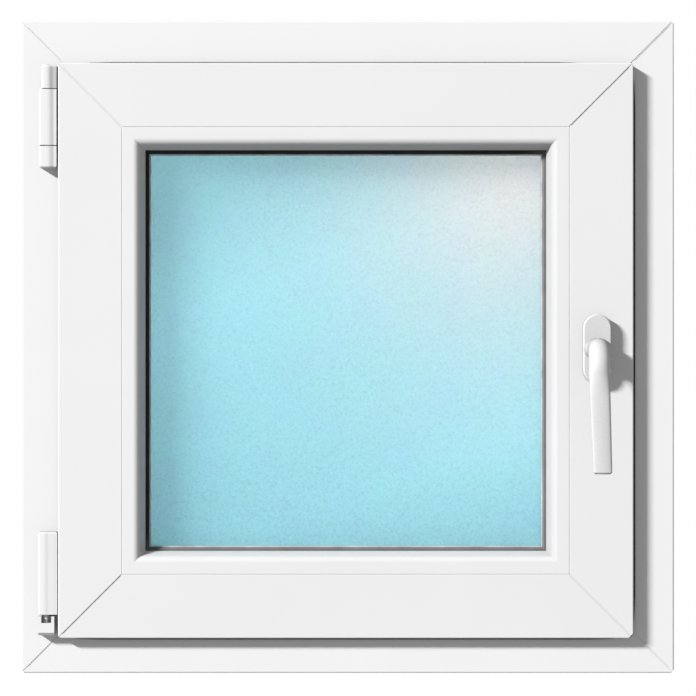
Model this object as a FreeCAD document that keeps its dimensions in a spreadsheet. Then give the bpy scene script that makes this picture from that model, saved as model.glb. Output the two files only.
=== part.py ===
import FreeCAD, Part
import os
import Sketcher

# Tilt and turn window, closed, seen from the room on its -Y side.
# Millimetres. +X is right, +Z is up. The origin is the centre of the frame's underside.

SIZES = [
    # frame profile
    ("window_width", 600),
    ("window_height", 600),
    ("frame_depth", 70),
    ("frame_face", 44.5),
    ("rebate_depth", 50),
    ("stop_rise", 23.5),
    ("frame_edge_round", 1.5),
    ("frame_corner_clip", 3),
    ("coupling_groove_width", 8),
    ("coupling_groove_depth", 4),
    ("coupling_groove_inset", 6),
    ("coupling_groove_pitch", 16),
    ("drip_slope_rise", 4),
    ("drip_slope_share", 0.5),
    ("weld_groove_width", 1.2),
    ("weld_groove_depth", 0.4),
    ("fixing_hole_radius", 3.1),
    ("fixing_hole_inset", 150),
    ("fixing_hole_depth", 25),
    # sash profile
    ("overlap", 8),
    ("sash_depth", 60),
    ("sash_proud", 13),
    ("sash_drop", 3.5),
    ("sash_set_over", 1.8),
    ("flange_thickness", 10),
    ("flange_width", 20),
    ("sash_face", 58.6),
    ("leg_rise", 20),
    ("leg_thickness", 12),
    ("sash_edge_round", 1.2),
    ("sash_corner_clip", 2.5),
    ("sash_lock_corner_clip", 5),
    ("bead_line_round", 0.6),
    # glazing bead
    ("bead_width", 20.4),
    ("bead_flat", 15),
    ("bead_toe", 3),
    ("bead_corner_clip", 0.4),
    ("bead_round", 7),
    # glazing
    ("pane_thickness", 4),
    ("cavity", 16),
    ("glass_clearance", 5),
    ("gasket_thickness", 3),
    ("gasket_seat", 16),
    ("gasket_lip", 3.4),
    ("spacer_inset", 3),
    ("spacer_height", 9),
    # weather seals
    ("flange_seal_inset", 1),
    ("flange_seal_width", 3.5),
    ("stop_seal_inset", 17.5),
    ("stop_seal_width", 4.5),
    # hinges
    ("hinge_offset", 11.3),
    ("hinge_stand_off", 7.5),
    ("barrel_radius", 6.2),
    ("barrel_end_bevel", 1.5),
    ("stay_knuckle_radius", 5.6),
    ("web_share", 0.5),
    ("stay_web_drop", 2.5),
    ("stay_leaf_height", 14),
    ("hinge_gap", 1.3),
    ("hinge_pin_radius", 3),
    ("pin_clearance", 0.05),
    ("leaf_thickness", 2.4),
    ("leaf_clearance", 0.3),
    ("leaf_return", 18),
    ("knuckle_drop", 1.4),
    ("knuckle_height", 20),
    ("knuckle_space", 0.8),
    ("stay_cap_height", 52),
    ("stay_foot_height", 21.6),
    ("pivot_block_lift", 2.7),
    ("pivot_block_height", 17.3),
    ("pivot_block_left", 6.8),
    ("pivot_block_right", 7.9),
    ("pivot_block_bevel", 2.5),
    ("pivot_notch_left", 4),
    ("pivot_notch_right", 5.2),
    ("pivot_notch_height", 6),
    ("pivot_notch_depth", 9),
    ("pivot_pin_radius", 2.2),
    ("pivot_pin_entry", 24),
    ("corner_sleeve_gap", 1.5),
    ("corner_sleeve_height", 75.7),
    ("corner_sleeve_left", 7),
    ("corner_sleeve_round", 4.5),
    ("corner_sleeve_groove", 1.2),
    ("corner_sleeve_groove_depth", 0.9),
    ("corner_sleeve_cap", 1.2),
    # handle
    ("handle_inset", 33.8),
    ("handle_lift", 1.5),
    ("rosette_width", 26.5),
    ("rosette_height", 64),
    ("rosette_thickness", 11),
    ("rosette_bevel", 1.5),
    ("neck_radius", 10),
    ("neck_base_radius", 12.6),
    ("neck_reach", 12),
    ("spigot_radius", 8),
    ("spigot_depth", 6),
    ("turning_gap", 0.3),
    ("bend_radius", 22),
    ("grip_width", 19.2),
    ("grip_thickness", 14),
    ("grip_end_width", 17),
    ("grip_end_thickness", 11),
    ("grip_reach", 113),
    ("grip_lean_in", 1),
    ("grip_lean_out", 2.2),
    ("grip_end_bevel", 1.6),
    ("spindle_side", 7),
    ("spindle_length", 36),
    ("spindle_socket", 12),
    ("spindle_hole_radius", 6),
    # drain caps
    ("drain_cap_length", 45),
    ("drain_cap_height", 12),
    ("drain_cap_thickness", 4),
    ("drain_cap_lift", 14),
    ("drain_cap_spacing", 300),
    ("drain_cap_round", 2.5),
]

doc = FreeCAD.newDocument("tilt_and_turn_window")
sheet = doc.addObject("Spreadsheet::Sheet", "sizes")
for row, (alias, size) in enumerate(SIZES, start=1):
    sheet.set(f"A{row}", alias)
    sheet.set(f"B{row}", str(size))
    sheet.setAlias(f"B{row}", alias)
doc.recompute()

# Places worked out from the driving sizes, as expressions. Depth runs along Y from the room (-Y).

FRAME_ROOM = "(-sizes.frame_depth / 2)"
FRAME_BACK = "(sizes.frame_depth / 2)"
STOP_FRONT = f"({FRAME_ROOM} + sizes.rebate_depth)"
STOP_TOP = "(sizes.frame_face + sizes.stop_rise)"
SASH_ROOM = f"({FRAME_ROOM} - sizes.sash_proud)"
SASH_BACK = f"({SASH_ROOM} + sizes.sash_depth)"
FLANGE_BACK = f"({SASH_ROOM} + sizes.flange_thickness)"
SASH_WIDTH = "(sizes.window_width - 2 * (sizes.frame_face - sizes.overlap))"
SASH_HEIGHT = "(sizes.window_height - 2 * (sizes.frame_face - sizes.overlap))"
SASH_X = "(-sizes.sash_set_over)"
SASH_Z = "(sizes.window_height / 2 - sizes.sash_drop)"
SASH_LEFT = f"({SASH_X} - {SASH_WIDTH} / 2)"
SASH_TOP = f"({SASH_Z} + {SASH_HEIGHT} / 2)"
SASH_BOTTOM = f"({SASH_Z} - {SASH_HEIGHT} / 2)"
LEG_TOP = "(sizes.sash_face + sizes.leg_rise)"
LEG_FRONT = f"({SASH_BACK} - sizes.leg_thickness)"
UNIT_BACK = f"({LEG_FRONT} - sizes.gasket_thickness)"
UNIT_THICKNESS = "(2 * sizes.pane_thickness + sizes.cavity)"
UNIT_FRONT = f"({UNIT_BACK} - {UNIT_THICKNESS})"
BEAD_BACK = f"({UNIT_FRONT} - sizes.gasket_thickness)"
GLASS_EDGE = "(sizes.sash_face + sizes.glass_clearance)"
HINGE_X = f"({SASH_LEFT} - sizes.hinge_offset)"
HINGE_Y = f"({FRAME_ROOM} - sizes.hinge_stand_off)"
HANDLE_X = f"({SASH_X} + {SASH_WIDTH} / 2 - sizes.handle_inset)"
HANDLE_Z = f"({SASH_Z} + sizes.handle_lift)"


def number(expression):
    """The value of an expression in the sheet's sizes."""
    return float(sheet.evalExpression(expression))


def new_body(label):
    """An empty body with its own label."""
    body = doc.addObject("PartDesign::Body", label)
    body.Label = label
    return body


def sketch_on(body, role, name, lift=None):
    """A sketch on one of the body's own origin planes, lifted along the plane's normal."""
    sketch = body.newObject("Sketcher::SketchObject", name)
    plane = next(item for item in body.Origin.OriginFeatures if item.Role == role)
    sketch.AttachmentSupport = (plane, [""])
    sketch.MapMode = "FlatFace"
    if lift:
        sketch.setExpression("AttachmentOffset.Base.z", lift)
    return sketch


def tie(sketch, kind, index, point, expression):
    """Ties one coordinate of a sketch's point to an expression."""
    spot = Sketcher.Constraint(kind, -1, 1, index, point, number(expression))
    constraint = sketch.addConstraint(spot)
    sketch.setExpression(f"Constraints[{constraint}]", expression)


def hold_point(sketch, index, point, across, up):
    """Ties one point of a sketch to two expressions."""
    tie(sketch, "DistanceX", index, point, across)
    tie(sketch, "DistanceY", index, point, up)


def add_loop(sketch, points):
    """A closed outline of straight lines through points, each a pair of expressions."""
    places = [FreeCAD.Vector(number(across), number(up), 0) for across, up in points]
    first = sketch.GeometryCount
    count = len(points)
    for index in range(count):
        following = places[(index + 1) % count]
        sketch.addGeometry(Part.LineSegment(places[index], following), False)
    for index in range(count):
        following = first + (index + 1) % count
        sketch.addConstraint(Sketcher.Constraint("Coincident", first + index, 2, following, 1))
    for index, (across, up) in enumerate(points):
        hold_point(sketch, first + index, 1, across, up)


def add_rectangle(sketch, left, right, low, high):
    """A rectangle from four expressions."""
    add_loop(sketch, [(left, low), (right, low), (right, high), (left, high)])


def add_circle(sketch, across, up, radius):
    """A circle from three expressions."""
    centre = FreeCAD.Vector(number(across), number(up), 0)
    normal = FreeCAD.Vector(0, 0, 1)
    index = sketch.addGeometry(Part.Circle(centre, normal, number(radius)), False)
    hold_point(sketch, index, 3, across, up)
    constraint = sketch.addConstraint(Sketcher.Constraint("Radius", index, number(radius)))
    sketch.setExpression(f"Constraints[{constraint}]", radius)


def add_slot(sketch, width, height):
    """An upright outline with half-round ends, centred on the sketch's origin."""
    radius = number(width) / 2
    reach = number(height) / 2 - radius
    turn = FreeCAD.Units.Quantity("180 deg").getValueAs("rad").Value
    axis = FreeCAD.Vector(0, 0, 1)
    top = Part.ArcOfCircle(Part.Circle(FreeCAD.Vector(0, reach, 0), axis, radius), 0, turn)
    low = Part.ArcOfCircle(Part.Circle(FreeCAD.Vector(0, -reach, 0), axis, radius), turn, 2 * turn)
    left_top = FreeCAD.Vector(-radius, reach, 0)
    left_low = FreeCAD.Vector(-radius, -reach, 0)
    right_low = FreeCAD.Vector(radius, -reach, 0)
    right_top = FreeCAD.Vector(radius, reach, 0)
    sketch.addGeometry(top, False)
    sketch.addGeometry(Part.LineSegment(left_top, left_low), False)
    sketch.addGeometry(low, False)
    sketch.addGeometry(Part.LineSegment(right_low, right_top), False)
    for index in range(4):
        following = (index + 1) % 4
        sketch.addConstraint(Sketcher.Constraint("Coincident", index, 2, following, 1))
    half_width = f"{width} / 2"
    half_reach = f"({height} - {width}) / 2"
    tie(sketch, "DistanceY", 0, 3, half_reach)
    tie(sketch, "DistanceY", 2, 3, f"-{half_reach}")
    hold_point(sketch, 1, 1, f"-{half_width}", half_reach)
    hold_point(sketch, 1, 2, f"-{half_width}", f"-{half_reach}")
    hold_point(sketch, 3, 1, half_width, f"-{half_reach}")
    hold_point(sketch, 3, 2, half_width, half_reach)


def add_pad(body, sketch, name, length, symmetric=False, reverse=False):
    """A pad whose length is an expression."""
    pad = body.newObject("PartDesign::Pad", name)
    pad.Profile = sketch
    if symmetric:
        pad.SideType = "Symmetric"
    pad.Reversed = reverse
    pad.setExpression("Length", length)
    doc.recompute()
    return pad


def add_pocket(body, sketch, name, length=None, reverse=False):
    """A pocket of stated length, or through all both ways. It has to take material away."""
    before = body.Shape.Volume
    pocket = body.newObject("PartDesign::Pocket", name)
    pocket.Profile = sketch
    if length:
        pocket.setExpression("Length", length)
        pocket.Reversed = reverse
    else:
        pocket.Type = "ThroughAll"
        pocket.SideType = "Symmetric"
    doc.recompute()
    if body.Shape.Volume >= before:
        raise RuntimeError(f"{body.Label}: {name} cuts nothing")
    return pocket


def edge_names(shape, test):
    """The names of the edges that pass a test."""
    return [f"Edge{index}" for index, edge in enumerate(shape.Edges, start=1) if test(edge)]


def runs_along(edge, axis, across):
    """True for a straight edge along one axis whose other coordinates match those given."""
    tolerance = 0.001
    if len(edge.Vertexes) != 2 or edge.Curve.TypeId != "Part::GeomLine":
        return False
    ends = [vertex.Point for vertex in edge.Vertexes]
    if abs(ends[0][axis] - ends[1][axis]) < tolerance:
        return False
    return all(abs(end[key] - place) < tolerance for end in ends for key, place in across.items())


def lies_at(edge, axis, level):
    """True for an edge whose ends both lie at one level of an axis."""
    return all(abs(vertex.Point[axis] - level) < 0.001 for vertex in edge.Vertexes)


def add_fillet(body, base, names, name, radius):
    """Rounds the named edges of a feature."""
    fillet = body.newObject("PartDesign::Fillet", name)
    fillet.Base = (base, names)
    fillet.setExpression("Radius", radius)
    doc.recompute()
    return fillet


def add_chamfer(body, base, names, name, size):
    """Bevels the named edges of a feature."""
    chamfer = body.newObject("PartDesign::Chamfer", name)
    chamfer.Base = (base, names)
    chamfer.setExpression("Size", size)
    doc.recompute()
    return chamfer


def place(item, across, deep, up, turn=0):
    """Puts an object at three expressions, turned by whole degrees about Y."""
    item.Placement = FreeCAD.Placement(
        FreeCAD.Vector(0, 0, 0),
        FreeCAD.Rotation(FreeCAD.Vector(0, 1, 0), turn),
    )
    for key, expression in zip("xyz", (across, deep, up)):
        item.setExpression(f"Placement.Base.{key}", expression)


def mitred_rail(label, length, profile, width, clips, rounds, groove=None):
    """A straight bar of one profile with both ends cut at 45 degrees for a welded corner.

    The bar lies along X. Its profile is drawn in Y, the depth, and Z, inward from its outer edge.
    Clips are how far the outer corners are cut back at the -X and +X ends.
    """
    body = new_body(label)
    sketch = sketch_on(body, "YZ_Plane", f"{label}_profile")
    add_loop(sketch, profile)
    bar = add_pad(body, sketch, f"{label}_bar", length, symmetric=True)
    for order, (deep, up, radius) in enumerate(rounds):
        corner = {1: number(deep), 2: number(up)}
        names = edge_names(bar.Shape, lambda edge: runs_along(edge, 0, corner))
        bar = add_fillet(body, bar, names, f"{label}_round_{order}", radius)
    ends = sketch_on(body, "XZ_Plane", f"{label}_mitre")
    half = f"{length} / 2"
    beyond = "1"
    for side, clip in zip(("-", ""), clips):
        add_loop(ends, [
            (f"{side}({half} - {clip} - {beyond})", f"-{beyond}"),
            (f"{side}({half} - {clip} / 2)", f"{clip} / 2"),
            (f"{side}({half} - {width} - {beyond})", f"{width} + {beyond}"),
            (f"{side}({half} + {beyond})", f"{width} + {beyond}"),
            (f"{side}({half} + {beyond})", f"-{beyond}"),
        ])
    add_pocket(body, ends, f"{label}_mitres")
    if groove:
        cut_weld_grooves(body, half, groove)
    return body


def cut_weld_grooves(body, half, face):
    """The shallow grooves that trimming leaves along the weld at both ends of the room face."""
    label = body.Label
    grooves = sketch_on(body, "XZ_Plane", f"{label}_groove_outline", f"-{face}")
    reach = "(sizes.stop_rise + sizes.frame_face + sizes.sash_face)"
    for side in ("-", ""):
        add_loop(grooves, [
            (f"{side}({half} - sizes.weld_groove_width)", "0"),
            (f"{side}({half} - sizes.weld_groove_width - {reach})", reach),
            (f"{side}({half} + 1 - {reach})", reach),
            (f"{side}({half} + 1)", "0"),
        ])
    add_pocket(body, grooves, f"{label}_weld_grooves", "sizes.weld_groove_depth")


def rail_square(names, width, height, centre_x, centre_z, inset, profile, reach, clips, rounds,
                groove=None):
    """Four mitred rails round a rectangle: top, bottom, left and right, in that order.

    Clips are the outer corners' cuts at the left top, right top, left bottom and right bottom.
    """
    left_top, right_top, left_low, right_low = clips
    clear_width = f"({width} - 2 * {inset})"
    clear_height = f"({height} - 2 * {inset})"
    places = [
        (clear_width, centre_x, f"{centre_z} + {clear_height} / 2", 180, (right_top, left_top)),
        (clear_width, centre_x, f"{centre_z} - {clear_height} / 2", 0, (left_low, right_low)),
        (clear_height, f"{centre_x} - {clear_width} / 2", centre_z, 90, (left_top, left_low)),
        (clear_height, f"{centre_x} + {clear_width} / 2", centre_z, -90, (right_low, right_top)),
    ]
    rails = []
    for label, (length, across, up, turn, ends) in zip(names, places):
        rail = mitred_rail(label, length, profile, reach, ends, rounds, groove)
        place(rail, across, "0", up, turn)
        rails.append(rail)
    return rails


def coupling_grooves():
    """The outline of the two grooves along the frame's outer edge, for sills and couplings."""
    points = []
    for order in (1, 0):
        far = f"({FRAME_BACK} - sizes.coupling_groove_inset - {order} * sizes.coupling_groove_pitch)"
        near = f"({far} - sizes.coupling_groove_width)"
        points += [
            (near, "0"),
            (near, "sizes.coupling_groove_depth"),
            (far, "sizes.coupling_groove_depth"),
            (far, "0"),
        ]
    return points


def build_frame():
    """The outer frame: four mitred bars with a rebate for the sash and an outer stop."""
    profile = [(FRAME_ROOM, "0")]
    profile += coupling_grooves()
    profile += [
        (FRAME_BACK, "0"),
        (FRAME_BACK, f"{STOP_TOP} - sizes.drip_slope_rise"),
        (f"{FRAME_BACK} - ({FRAME_BACK} - {STOP_FRONT}) * sizes.drip_slope_share", STOP_TOP),
        (STOP_FRONT, STOP_TOP),
        (STOP_FRONT, "sizes.frame_face"),
        (FRAME_ROOM, "sizes.frame_face"),
    ]
    rounds = [
        (FRAME_ROOM, "0", "sizes.frame_edge_round"),
        (FRAME_ROOM, "sizes.frame_face", "sizes.frame_edge_round"),
    ]
    names = ["frame_head", "frame_sill", "frame_jamb_left", "frame_jamb_right"]
    clips = ["sizes.frame_corner_clip"] * 4
    rails = rail_square(names, "sizes.window_width", "sizes.window_height", "0",
                        "sizes.window_height / 2", "0", profile, STOP_TOP, clips, rounds, FRAME_ROOM)
    for jamb in rails[2:]:
        drill_fixing_holes(jamb)


def drill_fixing_holes(jamb):
    """Two holes through a jamb for the screws that hold the frame in the wall."""
    label = jamb.Label
    sketch = sketch_on(jamb, "XY_Plane", f"{label}_fixing_circles")
    reach = "(sizes.window_height / 2 - sizes.fixing_hole_inset)"
    for side in ("", "-"):
        add_circle(sketch, f"{side}{reach}", f"{FRAME_ROOM} + sizes.fixing_hole_depth",
                   "sizes.fixing_hole_radius")
    add_pocket(jamb, sketch, f"{label}_fixing_holes")


def build_sash():
    """The opening sash: four mitred bars with an overlap flange and a leg behind the glass."""
    profile = [
        (SASH_ROOM, "0"),
        (FLANGE_BACK, "0"),
        (FLANGE_BACK, "sizes.flange_width"),
        (SASH_BACK, "sizes.flange_width"),
        (SASH_BACK, f"{LEG_TOP} - sizes.drip_slope_rise"),
        (f"{SASH_BACK} - sizes.leg_thickness * sizes.drip_slope_share", LEG_TOP),
        (LEG_FRONT, LEG_TOP),
        (LEG_FRONT, "sizes.sash_face"),
        (SASH_ROOM, "sizes.sash_face"),
    ]
    rounds = [
        (SASH_ROOM, "0", "sizes.sash_edge_round"),
        (SASH_ROOM, "sizes.sash_face", "sizes.bead_line_round"),
    ]
    names = ["sash_top_rail", "sash_bottom_rail", "sash_hinge_stile", "sash_lock_stile"]
    clips = ["sizes.sash_corner_clip"] * 3 + ["sizes.sash_lock_corner_clip"]
    rails = rail_square(names, SASH_WIDTH, SASH_HEIGHT, SASH_X, SASH_Z, "0", profile, LEG_TOP,
                        clips, rounds, SASH_ROOM)
    bore_lock_stile(rails[3])


def bore_lock_stile(stile):
    """The hole in the lock stile that the handle's spindle enters."""
    sketch = sketch_on(stile, "XZ_Plane", "spindle_circle", f"-{SASH_ROOM}")
    add_circle(sketch, "sizes.handle_lift", "sizes.handle_inset", "sizes.spindle_hole_radius")
    add_pocket(stile, sketch, "spindle_hole", "sizes.spindle_length")


def build_beads():
    """The glazing beads that hold the glass from the room side."""
    slope_end = f"({BEAD_BACK} - sizes.bead_toe)"
    profile = [
        (SASH_ROOM, "0"),
        (BEAD_BACK, "0"),
        (BEAD_BACK, "sizes.bead_width"),
        (slope_end, "sizes.bead_width"),
        (SASH_ROOM, "sizes.bead_flat"),
    ]
    rounds = [
        (SASH_ROOM, "sizes.bead_flat", "sizes.bead_round"),
        (SASH_ROOM, "0", "sizes.bead_line_round"),
    ]
    names = ["bead_top", "bead_bottom", "bead_left", "bead_right"]
    rail_square(names, SASH_WIDTH, SASH_HEIGHT, SASH_X, SASH_Z, "sizes.sash_face", profile,
                "sizes.bead_width", ["sizes.bead_corner_clip"] * 4, rounds)


def flat_ring(label, centre_x, centre_z, width, height, outer, inner, front, thickness):
    """A flat rectangular ring. Outer and inner are insets from the width and height given."""
    body = new_body(label)
    sketch = sketch_on(body, "XZ_Plane", f"{label}_outline")
    for inset in (outer, inner):
        add_rectangle(sketch, f"-({width} / 2 - {inset})", f"{width} / 2 - {inset}",
                      f"-({height} / 2 - {inset})", f"{height} / 2 - {inset}")
    add_pad(body, sketch, f"{label}_ring", thickness, reverse=True)
    place(body, centre_x, front, centre_z)
    return body


def build_glazing():
    """Two panes, the spacer between them and the gaskets that hold them."""
    outer_front = f"({UNIT_BACK} - sizes.pane_thickness)"
    for label, front in (("inner_pane", UNIT_FRONT), ("outer_pane", outer_front)):
        pane = doc.addObject("Part::Box", label)
        pane.Label = label
        pane.setExpression("Length", f"{SASH_WIDTH} - 2 * {GLASS_EDGE}")
        pane.setExpression("Width", "sizes.pane_thickness")
        pane.setExpression("Height", f"{SASH_HEIGHT} - 2 * {GLASS_EDGE}")
        place(pane, f"{SASH_LEFT} + {GLASS_EDGE}", front, f"{SASH_BOTTOM} + {GLASS_EDGE}")
    flat_ring("spacer_frame", SASH_X, SASH_Z, SASH_WIDTH, SASH_HEIGHT,
              f"({GLASS_EDGE} + sizes.spacer_inset)",
              f"({GLASS_EDGE} + sizes.spacer_inset + sizes.spacer_height)",
              f"{UNIT_FRONT} + sizes.pane_thickness", "sizes.cavity")
    seat = "(sizes.sash_face + sizes.gasket_seat)"
    sight = "(sizes.sash_face + sizes.bead_width + sizes.gasket_lip)"
    inside = flat_ring("glazing_gasket_inside", SASH_X, SASH_Z, SASH_WIDTH, SASH_HEIGHT,
                       seat, sight, BEAD_BACK, "sizes.gasket_thickness")
    bevel_ring_lip(inside, sight, "0", "sizes.gasket_thickness / 2")
    outside = flat_ring("glazing_gasket_outside", SASH_X, SASH_Z, SASH_WIDTH, SASH_HEIGHT,
                        seat, sight, UNIT_BACK, "sizes.gasket_thickness")
    bevel_ring_lip(outside, sight, "sizes.gasket_thickness", "sizes.gasket_thickness / 2")


def bevel_ring_lip(body, sight, face, size):
    """Bevels the inner edge of a gasket ring, on the face turned away from the glass."""
    base = body.Tip
    deep = number(face)
    half_width = number(f"{SASH_WIDTH} / 2 - {sight}")
    half_height = number(f"{SASH_HEIGHT} / 2 - {sight}")
    names = []
    for sign in (-1, 1):
        level = {1: deep, 2: sign * half_height}
        upright = {1: deep, 0: sign * half_width}
        names += edge_names(base.Shape, lambda edge: runs_along(edge, 0, level))
        names += edge_names(base.Shape, lambda edge: runs_along(edge, 2, upright))
    add_chamfer(body, base, names, f"{body.Label}_lip", size)


def build_seals():
    """The two weather seals: one behind the sash flange, one on the frame's outer stop."""
    ring = flat_ring("flange_seal_ring", SASH_X, SASH_Z, SASH_WIDTH, SASH_HEIGHT,
                     "sizes.flange_seal_inset",
                     "(sizes.flange_seal_inset + sizes.flange_seal_width)",
                     FLANGE_BACK, f"{FRAME_ROOM} - {FLANGE_BACK}")
    notches = [
        seal_notch("stay_notch", f"{SASH_TOP} - sizes.knuckle_drop - sizes.knuckle_height",
                   "sizes.stay_leaf_height"),
        seal_notch("corner_notch", f"{SASH_BOTTOM} + {CORNER_SLEEVE_LIFT}",
                   "sizes.corner_sleeve_height"),
    ]
    both = doc.addObject("Part::MultiFuse", "seal_notches")
    both.Shapes = notches
    seal = doc.addObject("Part::Cut", "sash_seal")
    seal.Label = "sash_seal"
    seal.Base = ring
    seal.Tool = both
    flat_ring("frame_seal", "0", "sizes.window_height / 2", "sizes.window_width",
              "sizes.window_height", "(sizes.frame_face + sizes.stop_seal_inset)",
              "(sizes.frame_face + sizes.stop_seal_inset + sizes.stop_seal_width)",
              SASH_BACK, f"{STOP_FRONT} - {SASH_BACK}")


def seal_notch(label, low, height):
    """A block that clears the flange seal where a hinge leaf passes behind the flange."""
    block = doc.addObject("Part::Box", label)
    block.setExpression("Length", "sizes.flange_width + 2")
    block.setExpression("Width", "sizes.flange_thickness")
    block.setExpression("Height", f"{height} + 2 * sizes.leaf_clearance")
    place(block, f"{SASH_LEFT} - 1", FLANGE_BACK, f"{low} - sizes.leaf_clearance")
    return block


# Hinges. Each knuckle is drawn round the hinge axis and stands on its own lower face.

CORNER_SLEEVE_LIFT = "(sizes.pivot_block_lift + sizes.pivot_block_height + sizes.corner_sleeve_gap)"
LEAF_FRONT = f"(-({HINGE_Y}) + {FLANGE_BACK} + sizes.leaf_clearance)"
LEAF_BACK = f"({LEAF_FRONT} + sizes.leaf_thickness)"
LEAF_END = "(sizes.hinge_offset + sizes.flange_width)"
REBATE_SIDE = f"({LEAF_END} - sizes.leaf_thickness)"
HINGE_EDGE = "(sizes.hinge_offset - sizes.hinge_gap)"


def knuckle(label, height, radius, web_back, footed):
    """A hinge barrel with a web beside it, and a foot where it belongs to the frame."""
    body = new_body(label)
    barrel = sketch_on(body, "XY_Plane", f"{label}_circle")
    add_circle(barrel, "0", "0", radius)
    add_pad(body, barrel, f"{label}_barrel", height)
    web = sketch_on(body, "XY_Plane", f"{label}_web_outline")
    add_rectangle(web, "0", HINGE_EDGE, f"-{radius} * sizes.web_share", web_back)
    web_height = height if footed else f"{height} - sizes.stay_web_drop"
    add_pad(body, web, f"{label}_web", web_height)
    if footed:
        foot = sketch_on(body, "XY_Plane", f"{label}_foot_outline")
        add_rectangle(foot, f"-{radius}", "0", "0", web_back)
        add_pad(body, foot, f"{label}_foot", height)
    return body


def bevel_barrel_end(body, level):
    """Bevels the front rim of a barrel at one end."""
    base = body.Tip
    height = number(level)

    def is_front_rim(edge):
        middle = edge.valueAt((edge.FirstParameter + edge.LastParameter) / 2)
        return lies_at(edge, 2, height) and edge.Curve.TypeId == "Part::GeomCircle" and middle.y < 0.001

    names = edge_names(base.Shape, is_front_rim)
    add_chamfer(body, base, names, f"{body.Label}_end_bevel", "sizes.barrel_end_bevel")


def leaf(body, height, with_return):
    """The sash's hinge leaf: a plate behind the sash flange that may turn in along the rebate."""
    label = body.Label
    plate = sketch_on(body, "XY_Plane", f"{label}_plate_outline")
    points = [("0", LEAF_FRONT), (LEAF_END, LEAF_FRONT)]
    if with_return:
        points += [(LEAF_END, f"{LEAF_FRONT} + sizes.leaf_return"),
                   (REBATE_SIDE, f"{LEAF_FRONT} + sizes.leaf_return"),
                   (REBATE_SIDE, LEAF_BACK)]
    else:
        points += [(LEAF_END, LEAF_BACK)]
    points += [("0", LEAF_BACK)]
    add_loop(plate, points)
    add_pad(body, plate, f"{label}_plate", height)


def bore_knuckle(body, radius="sizes.hinge_pin_radius", depth=None):
    """The hole along a knuckle for the hinge pin, from the lower face up."""
    sketch = sketch_on(body, "XY_Plane", f"{body.Label}_bore_circle")
    add_circle(sketch, "0", "0", f"{radius} + sizes.pin_clearance")
    add_pocket(body, sketch, f"{body.Label}_bore", depth, reverse=bool(depth))


def hinge_pin(label, radius, low, height):
    """A plain round hinge pin."""
    pin = doc.addObject("Part::Cylinder", label)
    pin.Label = label
    pin.setExpression("Radius", radius)
    pin.setExpression("Height", height)
    place(pin, HINGE_X, HINGE_Y, low)


def build_top_hinge():
    """The stay bearing at the top of the hinge side, which lets the sash turn and tilt."""
    knuckle_low = f"({SASH_TOP} - sizes.knuckle_drop - sizes.knuckle_height)"
    cap_low = f"({knuckle_low} - sizes.knuckle_space - sizes.stay_cap_height)"
    foot_low = f"({cap_low} - sizes.knuckle_space - sizes.stay_foot_height)"
    arm = knuckle("top_hinge_stay_arm", "sizes.knuckle_height", "sizes.stay_knuckle_radius",
                  LEAF_BACK, footed=False)
    bevel_barrel_end(arm, "sizes.knuckle_height")
    leaf(arm, "sizes.stay_leaf_height", with_return=False)
    bore_knuckle(arm)
    place(arm, HINGE_X, HINGE_Y, knuckle_low)
    cap = knuckle("top_hinge_cap", "sizes.stay_cap_height", "sizes.barrel_radius",
                  "sizes.hinge_stand_off", footed=True)
    bore_knuckle(cap)
    place(cap, HINGE_X, HINGE_Y, cap_low)
    foot = knuckle("top_hinge_bearing", "sizes.stay_foot_height", "sizes.barrel_radius",
                   "sizes.hinge_stand_off", footed=True)
    bevel_barrel_end(foot, "0")
    bore_knuckle(foot)
    place(foot, HINGE_X, HINGE_Y, foot_low)
    pin_height = f"({SASH_TOP} - sizes.knuckle_drop - {foot_low})"
    hinge_pin("top_hinge_pin", "sizes.hinge_pin_radius", foot_low, pin_height)


def pivot_block():
    """The frame's bearing block at the foot of the sash, bevelled below and notched at its top."""
    body = new_body("bottom_hinge_bearing")
    side = sketch_on(body, "YZ_Plane", "pivot_block_side")
    front = "-sizes.barrel_radius"
    add_loop(side, [
        (f"{front} + sizes.pivot_block_bevel", "0"),
        ("sizes.hinge_stand_off", "0"),
        ("sizes.hinge_stand_off", "sizes.pivot_block_height"),
        (front, "sizes.pivot_block_height"),
        (front, "sizes.pivot_block_bevel"),
    ])
    block = add_pad(body, side, "pivot_block", "sizes.pivot_block_right")
    block.SideType = "Two sides"
    block.setExpression("Length2", "sizes.pivot_block_left")
    doc.recompute()
    notch = sketch_on(body, "XY_Plane", "pivot_notch_outline", "sizes.pivot_block_height")
    add_rectangle(notch, "-sizes.pivot_notch_left", "sizes.pivot_notch_right",
                  f"{front} - 1", f"{front} + sizes.pivot_notch_depth")
    add_pocket(body, notch, "pivot_notch", "sizes.pivot_notch_height")
    return body


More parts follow.
